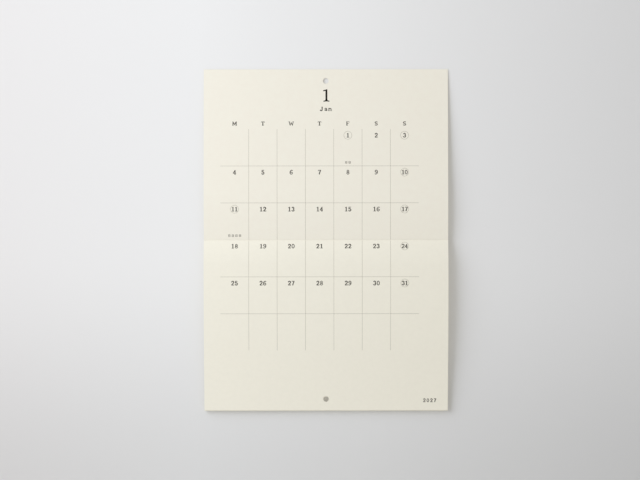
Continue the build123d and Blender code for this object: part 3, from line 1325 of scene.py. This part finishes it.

# %% [markdown]
# The paint is toned a little, down the wall and across it. This tone is painted light: the
# wall's colour is darker low down and towards its sides and palest a little left of the
# middle, standing in for the falloff of the lamp's pool of light on the wall.

# %% Painted light falloff on the wall, by places in metres
painted_falloff_heights, painted_falloff_width, painted_light_pool_places = (-0.52, -0.2), 0.4, (0.3, 0.55)
place = add_node(tree, "ShaderNodeTexCoord").outputs["Object"]
parts = add_node(tree, "ShaderNodeSeparateXYZ", {0: place}).outputs
painted_shade_low_down = add_node(
    tree,
    "ShaderNodeMapRange",
    {"Value": parts["Z"], "From Min": painted_falloff_heights[0], "From Max": painted_falloff_heights[1]},
    interpolation_type="SMOOTHSTEP",
)
sideways = add_node(
    tree,
    "ShaderNodeMapRange",
    {"Value": parts["X"], "From Min": -painted_falloff_width, "From Max": painted_falloff_width},
)
# Painted shade: the wall's colour darkens low down, where the lamp's light falls off.
painted_shade_down_the_wall = {"Factor": painted_shade_low_down, 6: linear("#DCDCDC"), 7: linear("#EEEEEE")}
upright = add_node(tree, "ShaderNodeMix", painted_shade_down_the_wall, data_type="RGBA")
# Painted light: palest where the lamp's pool of light falls, darker to the left and right.
painted_light_across = add_node(tree, "ShaderNodeValToRGB", {"Fac": sideways})
tones = painted_light_across.color_ramp.elements
tones[0].color, tones[1].color = linear("#F2F0EE"), linear("#F6F6F6")
for palest in painted_light_pool_places:
    tones.new(palest).color = linear("#FFFFFE")
toned = add_node(
    tree,
    "ShaderNodeMix",
    {"Factor": 1.0, 6: upright.outputs[2], 7: painted_light_across},
    data_type="RGBA",
    blend_type="MULTIPLY",
)
tree.links.new(toned.outputs[2], shader.inputs["Base Color"])
print("the wall is toned from", painted_falloff_heights[0], "m up to", painted_falloff_heights[1], "m")

# %% [markdown]
# Both are single faces, and they aren't part of the object. The wall stands a hair behind
# the leaf's top edge, and the floor lies below the picture.

# %% Wall and floor
def stage_sheet(name, corners, material):
    """A single face that carries light and shadow, and isn't part of the object."""
    mesh = new_mesh(name, corners, faces=[(0, 1, 2, 3)])
    mesh.materials.append(material)
    piece = new_object(name, mesh)


gap_behind = 0.6
wall_y = wall_at + gap_behind
wall_reach, wall_top, floor_z, floor_reach = 600.0, 300.0, -620.0, 4000.0
wall_corners = rectangle(-wall_reach, wall_reach, floor_z, wall_top)
floor_corners = rectangle(-floor_reach, floor_reach, -floor_reach, floor_reach)
stage_sheet("wall", [(x, wall_y, z) for x, z in wall_corners], wall_paint_with_painted_falloff)
floor_finish = new_material("pale_floor", Base_Color=linear("#E6E5E2"), **stage_finish)[0]
stage_sheet("floor", [(x, y, floor_z) for x, y in floor_corners], floor_finish)
print("wall stands", gap_behind, "mm behind the leaf")

# %% [markdown]
# ## Camera and light
# The camera looks straight at the wall from two metres, a touch from above. Its lens
# follows from how much of the wall the picture shows at that distance. The camera and the
# lights stand far off, so their places and sizes are written in metres.

# %% Camera
camera_distance, camera_side, camera_height = 2.0, -0.0073, -0.1433
camera_pitch, camera_roll = 88.5, 0.06
picture_width, sensor_width = 0.7892, 36
camera_data = bpy.data.cameras.new("camera")
camera_data.sensor_width = sensor_width
camera_data.lens = sensor_width * camera_distance / picture_width
camera = new_object("camera", camera_data)
camera.location = (camera_side, wall_y * millimetre - camera_distance, camera_height)
camera.rotation_euler = (radians(camera_pitch), radians(camera_roll), 0)
bpy.context.scene.camera = camera
print("lens", round(camera_data.lens, 1), "mm")

# %% [markdown]
# Daylight comes from the upper left. A lamp as large as a window gives the soft shadow on
# the right, and its light is a little blue. Warmer light from the room fills that shadow.
# Both are kept low enough for the pale paper to stay below white.

# %% Lamp and room light
lamp_size, lamp_power, daylight = (1.5, 1.8), 27.2, (0.886, 0.92, 1.0)
lamp_at, fold_at = Vector((-1.33, -1.0, 0.58)), Vector((0, 0, fold_height * millimetre))
room_colour, room_strength = "#F8F6F2", 0.58
lamp_data = bpy.data.lights.new("lamp", "AREA")
lamp_data.shape = "RECTANGLE"
lamp_data.size, lamp_data.size_y = lamp_size
lamp_data.energy, lamp_data.color = lamp_power, daylight
lamp = new_object("lamp", lamp_data)
lamp.location = lamp_at
lamp.rotation_euler = (fold_at - lamp_at).to_track_quat("-Z", "Y").to_euler()

world = bpy.data.worlds.new("room")
bpy.context.scene.world = world
world.use_nodes = True
background = world.node_tree.nodes["Background"]
background.inputs["Color"].default_value = linear(room_colour)
background.inputs["Strength"].default_value = room_strength
bpy.context.scene.view_settings.view_transform = "Standard"
print("lamp", lamp_power, "W, room", room_strength)

# %% [markdown]
# ## Finish
# The side-view curves and the type case were only tools, so they are removed.

# %% Tidy away the tools
for line in (halves["cover"]["Line"], halves["block"]["Line"], cover_line):
    bpy.data.objects.remove(line)
for sort in list(type_case.objects):
    bpy.data.objects.remove(sort)
bpy.data.collections.remove(type_case)
